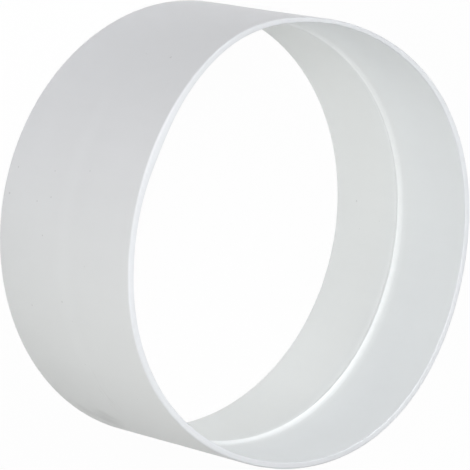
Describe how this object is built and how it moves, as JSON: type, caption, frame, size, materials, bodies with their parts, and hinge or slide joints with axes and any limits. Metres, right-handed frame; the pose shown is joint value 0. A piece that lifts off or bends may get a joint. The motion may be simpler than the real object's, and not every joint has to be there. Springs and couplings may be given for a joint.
{
  "type": "duct connector",
  "caption": "Short round plastic sleeve that joins round ducts end to end, with an open socket at each end and a low rounded stop bead inside at mid-length.",
  "frame": {"origin": "centre of the lower rim, on the surface that the connector stands on", "axes": "+Z along the duct axis, from the lower rim to the upper rim; the part is round, so X and Y are free"},
  "size_m": [0.1297, 0.1296, 0.059],
  "materials": {
    "white_plastic": "satin white moulded plastic"
  },
  "bodies": {
    "root": {"sleeve": "white_plastic"}
  },
  "joints": []
}
